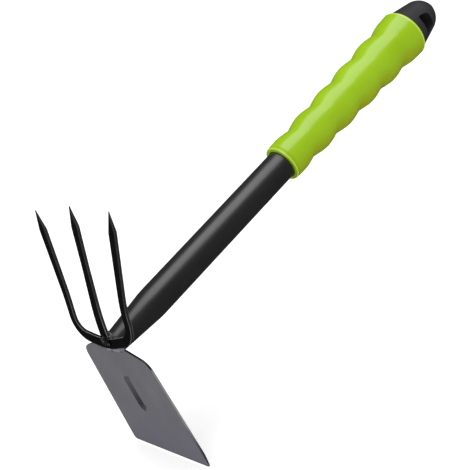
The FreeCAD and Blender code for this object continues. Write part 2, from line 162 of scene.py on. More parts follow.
class Wire:
    """A node's output. Sums and products of wires add Math nodes to their tree."""

    def __init__(self, tree, socket):
        self.tree = tree
        self.socket = socket

    @staticmethod
    def node(tree, kind, sockets=None, settings=None, output=0):
        """Add a node, with values or wires for its sockets, and return the wire of one output."""
        node = tree.nodes.new(kind)
        for name, value in (settings or {}).items():
            setattr(node, name, value)
        for key, value in (sockets or {}).items():
            if isinstance(value, Wire):
                tree.links.new(value.socket, node.inputs[key])
            else:
                node.inputs[key].default_value = value
        return Wire(tree, node.outputs[output]) if node.outputs else None

    def out(self, name):
        """Another output of the same node."""
        return Wire(self.tree, self.socket.node.outputs[name])

    def math(self, operation, *others, clamp=False):
        sockets = dict(enumerate((self, *others)))
        settings = {"operation": operation, "use_clamp": clamp}
        return Wire.node(self.tree, "ShaderNodeMath", sockets, settings)

    def __add__(self, other):
        return self.math("ADD", other)

    def __sub__(self, other):
        return self.math("SUBTRACT", other)

    def __rsub__(self, other):
        return (self * -1).math("ADD", other)

    def __mul__(self, other):
        return self.math("MULTIPLY", other)

    def __truediv__(self, other):
        return self.math("DIVIDE", other)

    def __pow__(self, other):
        return self.math("POWER", other)

    def ramp(self, low, high):
        """0 below the low value, 1 above the high one and even between them."""
        sockets = {"Value": self, "From Min": low, "From Max": high}
        return Wire.node(self.tree, "ShaderNodeMapRange", sockets)

    def band(self, start, risen, falling, end):
        """1 in a band of values, with a ramp up before it and a ramp down after it."""
        return self.ramp(start, risen) * (1 - self.ramp(falling, end))

    def bell(self):
        """A bell curve of the value, 1 at 0."""
        return (self * self * -1).math("EXPONENT")

    def clamped(self):
        return self.math("ADD", 0.0, clamp=True)


def full(color):
    """A colour with its alpha, or the wire that brings one."""
    return color if isinstance(color, Wire) else (*color[:3], 1.0)


def shade(color, share):
    """The colour made lighter or darker by a share."""
    return tuple(part * share for part in color[:3])


def tinted(color, mask, target, strength=1.0):
    """The colour, turned to the target where the mask is 1, as far as the strength says."""
    sockets = {0: mask * strength, 6: full(color), 7: full(target)}
    return Wire.node(mask.tree, "ShaderNodeMix", sockets, {"data_type": "RGBA"}, output=2)


def blend(first, second, share):
    """A share of the first value and the rest of the second."""
    return first * share + second * (1 - share)


# Materials


class Finish:
    """A material that is being made: its tree, the place and the normal on the piece, and its shader."""

    def __init__(self, name):
        self.material = bpy.data.materials.new(name)
        self.material.use_nodes = True
        self.tree = self.material.node_tree
        self.tree.nodes.clear()
        self.place = Wire.node(self.tree, "ShaderNodeTexCoord").out("Object")
        self.normal = Wire.node(self.tree, "ShaderNodeNewGeometry").out("Normal")

    def noise(self, scale, detail=2.0, stretch=(1, 1, 1)):
        """Cloudy noise on the piece, with so many waves to the metre."""
        place = Wire.node(self.tree, "ShaderNodeMapping", {"Vector": self.place, "Scale": stretch})
        sockets = {"Vector": place, "Scale": scale, "Detail": detail}
        return Wire.node(self.tree, "ShaderNodeTexNoise", sockets)

    def clouds(self, scale, detail=3.0, stretch=(1, 1, 1), low=0.3, high=0.7):
        """Noise drawn out until it runs from 0 to 1."""
        return self.noise(scale, detail, stretch).ramp(low, high)

    def cells(self, scale, low, high):
        """0 in the middle of each cell and 1 towards its walls, with so many cells to the metre."""
        sockets = {"Vector": self.place, "Scale": scale}
        return Wire.node(self.tree, "ShaderNodeTexVoronoi", sockets).ramp(low, high)

    def along(self, axis, source=None):
        """One coordinate of the place, or of another vector."""
        return Wire.node(self.tree, "ShaderNodeSeparateXYZ", {0: source or self.place}).out(axis)

    def squareness(self, lean):
        """1 on the faces of a sheet that leans so far back, and 0 on its cut edges."""
        across_sheet = (math.cos(lean), 0, -math.sin(lean))
        sockets = {0: self.normal, 1: across_sheet}
        settings = {"operation": "DOT_PRODUCT"}
        part = Wire.node(self.tree, "ShaderNodeVectorMath", sockets, settings, "Value")
        return part.math("ABSOLUTE")

    def bump(self, height, distance):
        """A normal raised by a height between 0 and 1 over a distance in metres."""
        sockets = {"Height": height, "Distance": distance, "Strength": 1.0}
        return Wire.node(self.tree, "ShaderNodeBump", sockets)

    def done(self, **sockets):
        """Finish with a shader whose sockets are named with underscores for spaces."""
        named = {name.replace("_", " "): value for name, value in sockets.items()}
        shader = Wire.node(self.tree, "ShaderNodeBsdfPrincipled", named)
        Wire.node(self.tree, "ShaderNodeOutputMaterial", {"Surface": shader})
        return self.material


def speckled(finish, color, spread, scale):
    """A paint colour with faint clouds and a few pale specks of dust."""
    cloudy = tinted(shade(color, 1 - spread), finish.clouds(scale), shade(color, 1 + spread))
    specks = 1 - finish.cells(scale * SPECKS_PER_CLOUD, low=0.04, high=0.12)
    return tinted(cloudy, specks, shade(color, 2.2), strength=0.35)


def make_shaft_paint(settings):
    """Semi-gloss dark lacquer with orange peel and faint rubbing along the tube."""
    finish = Finish("shaft_lacquer")
    rubs = finish.clouds(240, stretch=(0.12, 1, 1), low=0.35, high=0.75)
    peel = finish.noise(900)
    grain = finish.noise(4200, detail=1.0)
    return finish.done(
        Base_Color=speckled(finish, settings.shaft_color, spread=0.10, scale=60),
        Roughness=rubs * 0.08 + settings.shaft_roughness,
        Normal=finish.bump(blend(peel, grain, share=0.7), distance=12 * MICRON),
        Specular_IOR_Level=1.0,
        Coat_Weight=0.5,
        Coat_Roughness=0.25,
    )


def make_blade_paint(settings):
    """Bluish grey paint, bare at the edge and the cut sides, with painted shade on the shoulders and the
    rib's wall.
    """
    finish = Finish("blade_paint")
    color = speckled(finish, settings.blade_color, spread=0.06, scale=45)
    streaks = finish.clouds(160, detail=4.0, stretch=(1, 1, 0.25), low=0.45, high=0.8)
    color = tinted(color, streaks, shade(settings.blade_color, 1.45), strength=0.18)

    height = finish.along("Z") - BLADE_LOW.z
    lower = 1 - height.ramp(10 * MM, 45 * MM)
    color = tinted(color, lower, settings.low_blade_color, strength=0.8)

    # The cut sides are bare above and dark below, with painted shade where they face up on the shoulders, and
    # the cutting edge is worn along a ragged line
    upwards = finish.along("Z", finish.normal)
    sideways = finish.along("Y", finish.normal)
    square = finish.squareness(BLADE_LEAN)
    cut = 1 - square.ramp(0.4, 0.65)
    # Painted shade on the cut sides that face up, on the shoulders
    shoulder_shade = upwards.ramp(0.15, 0.4)
    side = cut * (1 - shoulder_shade) * height.ramp(8 * MM, 30 * MM)
    low_side = cut * sideways.math("ABSOLUTE").ramp(0.5, 0.8) * (1 - height.ramp(6 * MM, 30 * MM))
    ragged = finish.noise(420, detail=4.0) * (1.1 * MM)
    worn = 1 - (height - ragged).ramp(0.2 * MM, 1.2 * MM)
    color = tinted(color, (worn + side * 0.6).clamped(), settings.steel_color)
    color = tinted(color, (cut * shoulder_shade + low_side).clamped(), shade(settings.shaft_color, 0.5))

    # Painted shade on one long wall of the pressed rib, darkest at its lower end
    rib_wall_shade = (sideways * -1).ramp(0.04, 0.30) * square.ramp(0.65, 0.75)
    down_the_rib = 1 - height.ramp(30 * MM, 60 * MM) * 0.65
    color = tinted(color, rib_wall_shade * down_the_rib, shade(settings.blade_color, 0.08))
    return finish.done(
        Base_Color=color,
        Roughness=streaks * 0.08 + settings.blade_roughness,
        Metallic=worn * 0.8,
        Normal=finish.bump(finish.noise(1100), distance=8 * MICRON),
        Specular_IOR_Level=0.5,
    )


def make_tine_paint(settings):
    """Near black paint, lighter on the sheared sides and the points, and with a painted highlight on the
    edges low down.
    """
    finish = Finish("tine_paint")
    color = speckled(finish, settings.tine_color, spread=0.2, scale=120)
    sides = finish.along("Y", finish.normal).math("ABSOLUTE").ramp(0.6, 0.9)
    tears = finish.clouds(700, detail=4.0, stretch=(1, 1, 0.2))
    color = tinted(color, sides * (tears * 0.5 + 0.4), settings.sheared_color)

    height = finish.along("Z")
    # A painted highlight along the fork's bevelled edges, strongest near the bridge
    edges = finish.squareness(FORK_LEAN).band(0.12, 0.30, 0.55, 0.78)
    near_bridge = 1 - height.ramp(8 * MM, 30 * MM)
    color = tinted(color, edges * (near_bridge * 0.8 + 0.1), settings.edge_highlight_color)
    points = (height + finish.noise(300, detail=3.0) * (6 * MM)).ramp(73 * MM, 80 * MM)
    color = tinted(color, points, settings.sheared_color, strength=0.3)
    relief = blend(finish.noise(1300), tears * sides, share=0.6)
    return finish.done(
        Base_Color=color,
        Roughness=sides * 0.1 + settings.tine_roughness,
        Normal=finish.bump(relief, distance=10 * MICRON),
        Specular_IOR_Level=0.2,
    )


def make_weld_paint(name, paint_color):
    """Paint over a lumpy bead, with clouds and an uneven gloss."""
    finish = Finish(name)
    lumps = finish.noise(360, detail=3.0)
    spatter = finish.cells(900, low=0.1, high=0.6)
    return finish.done(
        Base_Color=tinted(shade(paint_color, 0.6), lumps.ramp(0.35, 0.7), shade(paint_color, 1.6)),
        Roughness=lumps * 0.2 + 0.14,
        Normal=finish.bump(blend(lumps, spatter, share=0.8), distance=50 * MICRON),
        Specular_IOR_Level=0.7,
    )


def make_core_plastic(settings):
    """Moulded charcoal plastic with a fine spark-eroded grain."""
    finish = Finish("core_plastic")
    clouds = finish.clouds(90)
    grain = finish.clouds(3200, detail=2.0)
    pores = finish.cells(2400, low=0.1, high=0.7)
    return finish.done(
        Base_Color=tinted(shade(settings.cap_color, 0.9), clouds, shade(settings.cap_color, 1.12)),
        Roughness=clouds * 0.08 + settings.cap_roughness,
        Normal=finish.bump(blend(grain, pores, share=0.5), distance=22 * MICRON),
        Specular_IOR_Level=0.45,
    )


def make_sleeve_rubber(settings):
    """Soft lime elastomer with a satin skin, with painted shade, darker and yellower, where it faces down,
    and pale painted highlights on its two rims.
    """
    finish = Finish("sleeve_rubber")
    clouds = finish.clouds(38)
    color = tinted(shade(settings.sleeve_color, 0.95), clouds, shade(settings.sleeve_color, 1.05))
    # Painted shade: a darker, more olive colour where the skin faces down
    low_side = (finish.along("Z", finish.normal) * -1).ramp(0.0, 0.6)
    color = tinted(color, low_side, settings.low_side_shade_color, strength=0.8)

    # Painted highlights: pale lines along the sleeve's front and rear rims
    from_front = finish.along("X") - SLEEVE_LOW.x
    from_rear = SLEEVE_HIGH.x - finish.along("X")
    front_rim = from_front.band(0.2 * MM, 0.4 * MM, 0.7 * MM, 1.1 * MM)
    rear_rim = from_rear.band(0.9 * MM, 1.3 * MM, 1.9 * MM, 2.4 * MM)
    color = tinted(color, (front_rim + rear_rim).clamped(), settings.rim_color, strength=0.8)

    specks = 1 - finish.cells(1100, low=0.05, high=0.16)
    color = tinted(color, specks, shade(settings.sleeve_color, 0.7), strength=0.12)
    grain = finish.noise(2600)
    waves = finish.noise(150)
    return finish.done(
        Base_Color=color,
        Roughness=clouds * 0.06 + settings.sleeve_roughness,
        Normal=finish.bump(blend(grain, waves, share=0.35), distance=20 * MICRON),
        Specular_IOR_Level=0.85,
        Subsurface_Weight=0.04,
        Subsurface_Radius=(0.6, 1.0, 0.1),
        Subsurface_Scale=2 * MM,
    )


# Geometry trees


def new_tree(name, values):
    """A geometry tree with an input for each value, and one for the material."""
    tree = bpy.data.node_groups.new(name, "GeometryNodeTree")
    for label, value in values.items():
        kind = "NodeSocketInt" if isinstance(value, int) else "NodeSocketFloat"
        socket = tree.interface.new_socket(label, in_out="INPUT", socket_type=kind)
        socket.default_value = value
    tree.interface.new_socket("Material", in_out="INPUT", socket_type="NodeSocketMaterial")
    tree.interface.new_socket("Geometry", in_out="OUTPUT", socket_type="NodeSocketGeometry")
    return tree, Wire.node(tree, "NodeGroupInput")


def close_tree(entry, geometry):
    """End a tree: shaded smooth, realized and in its material."""
    tree = entry.tree
    shaded = Wire.node(tree, "GeometryNodeSetShadeSmooth", {"Geometry": geometry, "Shade Smooth": True})
    real = Wire.node(tree, "GeometryNodeRealizeInstances", {"Geometry": shaded})
    sockets = {"Geometry": real, "Material": entry.out("Material")}
    dressed = Wire.node(tree, "GeometryNodeSetMaterial", sockets)
    Wire.node(tree, "NodeGroupOutput", {"Geometry": dressed})


def new_grid(tree, columns, rounds):
    """A flat grid, with each point's share of the way along it and of the way round."""
    sockets = {"Size X": 1.0, "Size Y": 1.0, "Vertices X": columns, "Vertices Y": rounds}
    grid = Wire.node(tree, "GeometryNodeMeshGrid", sockets)
    spot = Wire.node(tree, "ShaderNodeSeparateXYZ", {0: Wire.node(tree, "GeometryNodeInputPosition")})
    return grid, spot.out("X") + 0.5, spot.out("Y") + 0.5


def moved(geometry, place):
    sockets = {"Geometry": geometry, "Position": place}
    return Wire.node(geometry.tree, "GeometryNodeSetPosition", sockets)


def rolled(grid, x, y, z):
    """The grid with its points moved to their places and its meeting sides joined."""
    place = Wire.node(grid.tree, "ShaderNodeCombineXYZ", {"X": x, "Y": y, "Z": z})
    sockets = {"Geometry": moved(grid, place), "Distance": SEAM_DISTANCE}
    return Wire.node(grid.tree, "GeometryNodeMergeByDistance", sockets)


def uneven(entry, place, scale):
    """Noise on a tree's own places, which its seed varies."""
    sockets = {"Vector": place, "W": entry.out("Seed"), "Scale": scale, "Detail": 2.0}
    return Wire.node(entry.tree, "ShaderNodeTexNoise", sockets, {"noise_dimensions": "4D"})


def grip_crest(entry, share):
    """The radius of the lobes' crests, at a share of the grip's length."""
    front = entry.out("Front radius")
    flare = entry.out("Flare")
    return front + (entry.out("Rear radius") - front) * share * (1 - flare + flare * share)


def grip_drop(entry, along, turn):
    """How far the skin lies below the crests: fading grooves, less the ovals, and the line behind the rim."""
    turns = (along - entry.out("First groove")) / entry.out("Groove pitch")
    nearest = turns.math("ROUND").math("MAXIMUM", 0.0).math("MINIMUM", entry.out("Last groove"))
    off = ((turns - nearest).math("ABSOLUTE") * 2).math("MINIMUM", 1.0)
    side = (turn - entry.out("Fade turn")).math("COSINE") ** 2
    width = 1 - entry.out("Side fade") * side
    soft_off = (off * off + GROOVE_SOFTNESS).math("SQRT").math("MINIMUM", 1.0)
    groove = (1 - soft_off) ** GROOVE_POWER
    grooves = entry.out("Groove depth") * groove * width ** FADE_POWER
    from_oval = off * off * OVAL_FALL_ALONG + (1 - side) * OVAL_FALL_ROUND
    ovals = entry.out("Oval rise") * from_oval.bell()
    rim_width = entry.out("Rim width")
    from_rim = (along - rim_width) / (rim_width * RIM_LINE_SHARE)
    return grooves - ovals + entry.out("Rim depth") * from_rim.bell()


def grip_end_loss(entry, along):
    """What the rounding at the grip's two ends takes from its radius."""
    rounding = entry.out("End rounding")
    from_end = along.math("MINIMUM", entry.out("Length") - along) / rounding
    corner = (1 - from_end).math("MAXIMUM", 0.0).math("MINIMUM", 1.0)
    return rounding * (1 - (1 - corner * corner).math("MAXIMUM", 0.0).math("SQRT"))


def make_sleeve_tree(values):
    """The grip: a closed profile turned round X, with lobes between ring grooves."""
    tree, entry = new_tree("turned_grip", values)
    outer_end = entry.out("Rows") + GRIP_END_ROWS
    rear_end = outer_end + GRIP_END_ROWS
    last_row = rear_end + 3
    grid, share_of_rows, share_of_turn = new_grid(tree, last_row + 1, entry.out("Round"))
    row = share_of_rows * last_row
    turn = share_of_turn * math.tau

    # The rows climb the front face, run along the outside, go down the rear face, back through the bore,
    # down the lip's step and along the lip to the start
    rise = row.ramp(0.0, GRIP_END_ROWS)
    run = row.ramp(GRIP_END_ROWS, outer_end)
    fall = row.ramp(outer_end, rear_end)
    back = row.ramp(rear_end, rear_end + 1)
    step = row.ramp(rear_end + 1, rear_end + 2)
    lip_run = row.ramp(rear_end + 2, last_row)
    length = entry.out("Length")
    lip = entry.out("Lip length")
    gathered = run - (run * math.tau).math("SINE") * (ROW_GATHERING / math.tau)
    along = length * gathered - (length - lip) * back - lip * lip_run

    outer = grip_crest(entry, along / length) - grip_drop(entry, along, turn) - grip_end_loss(entry, along)
    lip_radius = entry.out("Lip radius")
    inner = lip_radius + (entry.out("Bore radius") - lip_radius) * (fall - step)
    radius = inner + (outer - inner) * (rise - fall)
    x = entry.out("Front") + along
    close_tree(entry, rolled(grid, x, radius * turn.math("COSINE"), radius * turn.math("SINE")))
    return tree


def make_bead_tree(values):
    """A rippled weld bead along an arc round X, closed at both ends or joined into a ring."""
    tree, entry = new_tree("rippled_bead", values)
    grid, share, share_of_turn = new_grid(tree, BEAD_COLUMNS, BEAD_ROUND)
    angle = entry.out("Start") + entry.out("Sweep") * share
    turn = share_of_turn * math.tau
    off = (share * 2 - 1).math("ABSOLUTE")
    closing = (1 - off ** BEAD_END_POWER).math("MAXIMUM", 0.0).math("SQRT")
    taper = 1 - entry.out("Taper") * (1 - closing)
    sway = turn.math("COSINE") * RIPPLE_SWAY
    ripple = (share * entry.out("Ripples") * math.tau + sway).math("COSINE") * 0.5 + 0.5
    flow = Wire.node(tree, "ShaderNodeCombineXYZ", {
        "X": angle.math("COSINE") * BEAD_NOISE_RADIUS,
        "Y": angle.math("SINE") * BEAD_NOISE_RADIUS,
        "Z": turn.math("COSINE"),
    })
    lump = (uneven(entry, flow, scale=1.6) - 0.5) * entry.out("Lumps") * 2
    radius = entry.out("Bead radius") * taper * (1 - entry.out("Ripple depth") * ripple + lump)
    reach = entry.out("Arc radius") + radius * turn.math("COSINE")
    x = radius * turn.math("SINE")
    close_tree(entry, rolled(grid, x, reach * angle.math("COSINE"), reach * angle.math("SINE")))
    return tree


def make_lump_tree(values):
    """A rounded lump of weld metal, flattened and dented by noise."""
    tree, entry = new_tree("weld_lump", values)
    ball = Wire.node(tree, "GeometryNodeMeshIcoSphere", {"Radius": 1.0, "Subdivisions": LUMP_SUBDIVISIONS})
    spot = Wire.node(tree, "GeometryNodeInputPosition")
    grow = 1 - uneven(entry, spot, scale=2.3).ramp(0.3, 0.7) * entry.out("Lumps")
    size = Wire.node(tree, "ShaderNodeCombineXYZ", {
        "X": entry.out("Half depth") * grow,
        "Y": entry.out("Half width") * grow,
        "Z": entry.out("Half height") * grow,
    })
    place = Wire.node(tree, "ShaderNodeVectorMath", {0: spot, 1: size}, {"operation": "MULTIPLY"})
    close_tree(entry, moved(ball, place))
    return tree


# Pieces


def new_object(name, data):
    made = bpy.data.objects.new(name, data)
    bpy.context.scene.collection.objects.link(made)
    return made


def applied(piece):
    """The piece's mesh with its modifiers applied."""
    view = bpy.context.evaluated_depsgraph_get()
    return bpy.data.meshes.new_from_object(piece.evaluated_get(view))


def opened(mesh):
    """The mesh as a shape to edit, with its doubled points joined."""
    shape = bmesh.new()
    shape.from_mesh(mesh)
    bmesh.ops.remove_doubles(shape, verts=shape.verts, dist=JOIN_DISTANCE)
    return shape


def put_back(shape, mesh):
    """Turn the shape's normals out and keep it in the mesh."""
    bmesh.ops.recalc_face_normals(shape, faces=shape.faces)
    shape.to_mesh(mesh)
    shape.free()


def grown(name, tree, values, material, move=None):
    """Run a geometry tree once and keep the result as a plain closed mesh at the origin."""
    seed = new_object(f"{name}_seed", bpy.data.meshes.new(f"{name}_seed"))
    modifier = seed.modifiers.new("shape", "NODES")
    modifier.node_group = tree
    inputs = [item for item in tree.interface.items_tree if item.in_out == "INPUT"]
    identifiers = {item.name: item.identifier for item in inputs}
    for label, value in {**values, "Material": material}.items():
        modifier[identifiers[label]] = value
    seed.update_tag()
    mesh = applied(seed)
    bpy.data.objects.remove(seed)
    if move is not None:
        mesh.transform(move)
    put_back(opened(mesh), mesh)
    mesh.name = name
    return new_object(name, mesh)


def wear(piece, node):
    """The piece rides on the tool and stands for a node, which is hidden."""
    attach(piece, "root")
    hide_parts(node)


def polished_copy(node, name, material, bevel=0.0, clamp=True):
    """A copy of a node with its triangles joined, its sharp edges eased by a bevel and the rest smooth."""
    shape = opened(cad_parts[node].data)
    bmesh.ops.dissolve_limit(shape, angle_limit=FLAT_ANGLE, verts=shape.verts, edges=shape.edges)
    mesh = bpy.data.meshes.new(name)
    put_back(shape, mesh)
    mesh.shade_smooth()
    mesh.set_sharp_from_angle(angle=SHARP_ANGLE)
    mesh.materials.append(material)
    piece = new_object(name, mesh)
    if bevel:
        ease = piece.modifiers.new("eased edges", "BEVEL")
        ease.width = bevel
        ease.segments = BEVEL_SEGMENTS
        ease.limit_method = "ANGLE"
        ease.angle_limit = SHARP_ANGLE
        ease.harden_normals = True
        ease.use_clamp_overlap = clamp
        flat = piece.modifiers.new("flat faces", "WEIGHTED_NORMAL")
        flat.keep_sharp = True
        eased = applied(piece)
        piece.modifiers.clear()
        piece.data = eased
    wear(piece, node)


def head_place(setback, lean, turn=0.0, up=0.0, behind=0.0):
    """From a sheet's own plane to the row frame: a point so far up the sheet and behind its front face."""
    turned = Matrix.Rotation(turn, 4, "X")
    leaned = Matrix.Rotation(lean, 4, "Y")
    start = Matrix.Translation((TUBE_FRONT - setback, 0, 0))
    return start @ turned @ leaned @ Matrix.Translation((behind, 0, up))


# Studio


def seen_directly(path):
    """1 for rays from the camera, also through clear things."""
    return path.out("Is Camera Ray").math("MAXIMUM", path.out("Is Transmission Ray"))


def make_floor(settings):
    """A pale floor: white to the camera where nothing shades it, dim in reflections and clear from below."""
    level = CAD_BOX[0][2] - settings.floor_gap
    half = FLOOR_HALF_SIZE
    corners = [(-half, -half, level), (half, -half, level), (half, half, level), (-half, half, level)]
    mesh = bpy.data.meshes.new("floor")
    mesh.from_pydata(corners, [], [(0, 1, 2, 3)])
    floor = new_object("floor", mesh)

    finish = Finish("pale_floor")
    tree = finish.tree
    noise = finish.noise(30, detail=3.0)
    darker = shade(settings.floor_color, 1 - FLOOR_MOTTLING)
    lighter = shade(settings.floor_color, 1 + FLOOR_MOTTLING)
    matt = Wire.node(tree, "ShaderNodeBsdfDiffuse", {"Color": tinted(darker, noise, lighter)})
    path = Wire.node(tree, "ShaderNodeLightPath")
    lift = 1 - settings.floor_color[0] * settings.ambient
    sockets = {"Color": WHITE, "Strength": seen_directly(path) * lift}
    glow = Wire.node(tree, "ShaderNodeEmission", sockets)
    lit = Wire.node(tree, "ShaderNodeAddShader", {0: matt, 1: glow})
    mirrored = Wire.node(tree, "ShaderNodeEmission", {"Color": WHITE, "Strength": settings.reflected})
    above = Wire.node(tree, "ShaderNodeMixShader", {0: path.out("Is Glossy Ray"), 1: lit, 2: mirrored})
    clear = Wire.node(tree, "ShaderNodeBsdfTransparent")
    from_below = finish.normal.out("Backfacing")
    surface = Wire.node(tree, "ShaderNodeMixShader", {0: from_below, 1: above, 2: clear})
    Wire.node(tree, "ShaderNodeOutputMaterial", {"Surface": surface})
    mesh.materials.append(finish.material)
    return floor


def make_backdrop(settings):
    """White behind the tool, dim in glossy surfaces, and even light on dull ones."""
    world = bpy.data.worlds.new("studio")
    world.use_nodes = True
    tree = world.node_tree
    tree.nodes.clear()
    path = Wire.node(tree, "ShaderNodeLightPath")
    seen = seen_directly(path)
    glossy = path.out("Is Glossy Ray")
    unseen = glossy * settings.reflected + (1 - glossy) * settings.ambient
    sockets = {"Color": WHITE, "Strength": seen + (1 - seen) * unseen}
    light = Wire.node(tree, "ShaderNodeBackground", sockets)
    Wire.node(tree, "ShaderNodeOutputWorld", {"Surface": light})
    bpy.context.scene.world = world


def placed(right, up, back, spot):
    """The placement of something at a spot, whose own axes point these three ways."""
    return Matrix.Translation(spot) @ Matrix((right, up, back)).transposed().to_4x4()


def make_lamp(name, way, distance, size, energy):
    """A soft rectangular lamp that faces the middle of the tool, with its first side along it."""
    lamp = bpy.data.lights.new(name, "AREA")
    lamp.shape = "RECTANGLE"
    lamp.size, lamp.size_y = size
    lamp.energy = energy
    middle = (Vector(CAD_BOX[0]) + Vector(CAD_BOX[1])) / 2
    back = way.normalized()
    side = back.cross(Vector((1, 0, 0))).normalized()
    holder = new_object(name, lamp)
    holder.matrix_world = placed(side.cross(back), side, back, middle + way * distance)
    return holder


def make_camera():
    """The photograph's camera, from the image axes fitted to it."""
    right = IMAGE_RIGHT.normalized()
    ahead = right.cross(IMAGE_DOWN).normalized()
    down = ahead.cross(right)
    lens = bpy.data.cameras.new("photo_camera")
    lens.sensor_width = SENSOR
    lens.lens = FOCAL_PIXELS * SENSOR / IMAGE_PIXELS
    lens.clip_start = CLIP_START
    lens.clip_end = CLIP_END
    camera = new_object("photo_camera", lens)
    camera.matrix_world = placed(right, -down, -ahead, LENS_SPOT)
    bpy.context.scene.camera = camera


# Settings


def length_of(name, description, default):
    return FloatProperty(name=name, description=description, default=default, unit="LENGTH")


def factor_of(name, description, default):
    return FloatProperty(name=name, description=description, default=default, subtype="FACTOR")


def power_of(name, description, default):
    return FloatProperty(name=name, description=description, default=default, unit="POWER")


def color_of(name, description, default):
    return FloatVectorProperty(name=name, description=description, default=default, subtype="COLOR")


class GripSettings(bpy.types.PropertyGroup):
    """The grip's lobes and the colours of the handle."""

    first_groove: length_of("First groove", "From the grip's front face to its first groove", 20.3 * MM)
    groove_pitch: length_of("Groove pitch", "From one groove to the next", 23.9 * MM)
    groove_count: IntProperty(name="Grooves", description="How many ring grooves the grip has", default=5)
    groove_depth: length_of("Groove depth", "How far a groove lies below the lobes", 2.4 * MM)
    side_fade: factor_of("Side fade", "How much the grooves die out at the grip's two sides", 0.93)
    fade_turn: FloatProperty(
        name="Fade turn", description="Which way the fading side faces, turned from +Y about the grip",
        default=math.radians(147), subtype="ANGLE")
    end_rounding: length_of("End rounding", "Radius at the grip's two ends", 1.6 * MM)
    oval_rise: length_of("Oval rise", "How far the ovals between the groove ends stand out", 0.22 * MM)
    rim_width: length_of("Rim width", "From the grip's front face to the line behind its rim", 2.0 * MM)
    rim_depth: length_of("Rim depth", "Depth of the line behind the rim", 0.45 * MM)
    sleeve_color: color_of("Sleeve colour", "The soft grip", (0.305, 0.515, 0.0))
    # Painted shade on the soft grip's downward side
    low_side_shade_color: color_of("Low side colour", "The soft grip where it faces down", (0.32, 0.37, 0.0))
    # Painted highlight along the soft grip's two rims
    rim_color: color_of("Rim colour", "Thin rims at the two ends of the soft grip", (0.52, 0.74, 0.12))
    sleeve_roughness: factor_of("Sleeve roughness", "How dull the soft grip is", 0.21)
    cap_color: color_of("Cap colour", "The hard core and its cap", (0.030, 0.029, 0.033))
    cap_roughness: factor_of("Cap roughness", "How dull the cap is", 0.42)


class HeadSettings(bpy.types.PropertyGroup):
    """The paints of the shaft, blade and tines, and the weld beads."""

    shaft_color: color_of("Shaft colour", "Lacquer of the tube", (0.0135, 0.0133, 0.0142))
    shaft_roughness: factor_of("Shaft roughness", "How dull the lacquer is", 0.35)
    blade_color: color_of("Blade colour", "Paint of the blade", (0.136, 0.132, 0.147))
    low_blade_color: color_of(
        "Low blade colour", "Paint of the blade towards its edge", (0.135, 0.130, 0.164))
    blade_roughness: factor_of("Blade roughness", "How dull the blade's paint is", 0.46)
    steel_color: color_of("Bare steel", "Steel where the paint is worn off", (0.30, 0.29, 0.29))
    tine_color: color_of("Tine colour", "Paint of the fork", (0.0020, 0.0020, 0.0022))
    tine_roughness: factor_of("Tine roughness", "How dull the fork's paint is", 0.30)
    sheared_color: color_of(
        "Sheared side", "Sides of the strip, where the paint is thin", (0.034, 0.033, 0.035))
    # Painted highlight along the fork's edges
    edge_highlight_color: color_of("Rubbed edge", "Edges of the fork, where the paint is rubbed", (0.32, 0.32, 0.33))
    weld_color: color_of(
        "Weld colour", "Paint over the weld at the middle tine's foot", (0.006, 0.0058, 0.006))
    ring_color: color_of(
        "Ring bead colour", "Thinner paint over the bead round the tube's end", (0.05, 0.049, 0.048))
    edge_easing: length_of("Edge easing", "Bevel on the blade's sharp edges", 0.25 * MM)
    tine_easing: length_of("Tine easing", "Bevel on the fork's sharp edges", 0.34 * MM)
    bead_radius: length_of("Bead radius", "Half the thickness of the weld beads", 1.75 * MM)
    ripple_depth: factor_of("Ripple depth", "Share of the bead that its ripples take", 0.16)


class StudioSettings(bpy.types.PropertyGroup):
    """Floor, backdrop, lamps and camera."""

    floor_gap: length_of("Floor gap", "Between the blade's edge and the floor", 1 * MM)
    floor_color: color_of("Floor colour", "The pale floor", (0.8, 0.8, 0.8))
    ambient: FloatProperty(name="Ambient", description="Even light from all round", default=0.84)
    reflected: factor_of("Reflected backdrop", "How bright the backdrop is in glossy surfaces", 0.05)
    key_power: power_of("Key lamp", "Large soft lamp above the handle", 8.9)
    fill_power: power_of("Fill lamp", "Weak soft lamp before the blade", 3.0)


# Operators


class HOE_OT_grip(bpy.types.Operator):
    """Make the soft sleeve with its lobes, and finish the hard core and its cap"""

    bl_idname = "hoe.grip"
    bl_label = "Handle"

    def execute(self, context):
        settings = context.scene.hoe_grip
        rubber = make_sleeve_rubber(settings)
        plastic = make_core_plastic(settings)
        values = {
            "Front": SLEEVE_LOW.x,
            "Length": SLEEVE_HIGH.x - SLEEVE_LOW.x,
            "Front radius": GRIP_FRONT_RADIUS,
            "Rear radius": GRIP_REAR_RADIUS,
            "Flare": GRIP_FLARE,
            "Bore radius": GRIP_BORE_RADIUS,
            "Lip radius": GRIP_LIP_RADIUS,
            "Lip length": GRIP_LIP_LENGTH,
            "First groove": settings.first_groove,
            "Last groove": settings.groove_count - 1,
            "Groove pitch": settings.groove_pitch,
            "Groove depth": settings.groove_depth,
            "Side fade": settings.side_fade,
            "Fade turn": settings.fade_turn,
            "Oval rise": settings.oval_rise,
            "End rounding": settings.end_rounding,
            "Rim width": settings.rim_width,
            "Rim depth": settings.rim_depth,
            "Rows": GRIP_ROWS,
            "Round": GRIP_ROUND,
        }
        sleeve = grown("soft_sleeve", make_sleeve_tree(values), values, rubber)
        wear(sleeve, "grip_sleeve")
        polished_copy("handle_core", "hard_core", plastic, CORE_EASING)
        return {"FINISHED"}


class HOE_OT_shaft(bpy.types.Operator):
    """Lacquer the swaged tube"""

    bl_idname = "hoe.shaft"
    bl_label = "Shaft"

    def execute(self, context):
        lacquer = make_shaft_paint(context.scene.hoe_head)
        polished_copy("shaft_tube", "lacquered_shaft", lacquer)
        return {"FINISHED"}


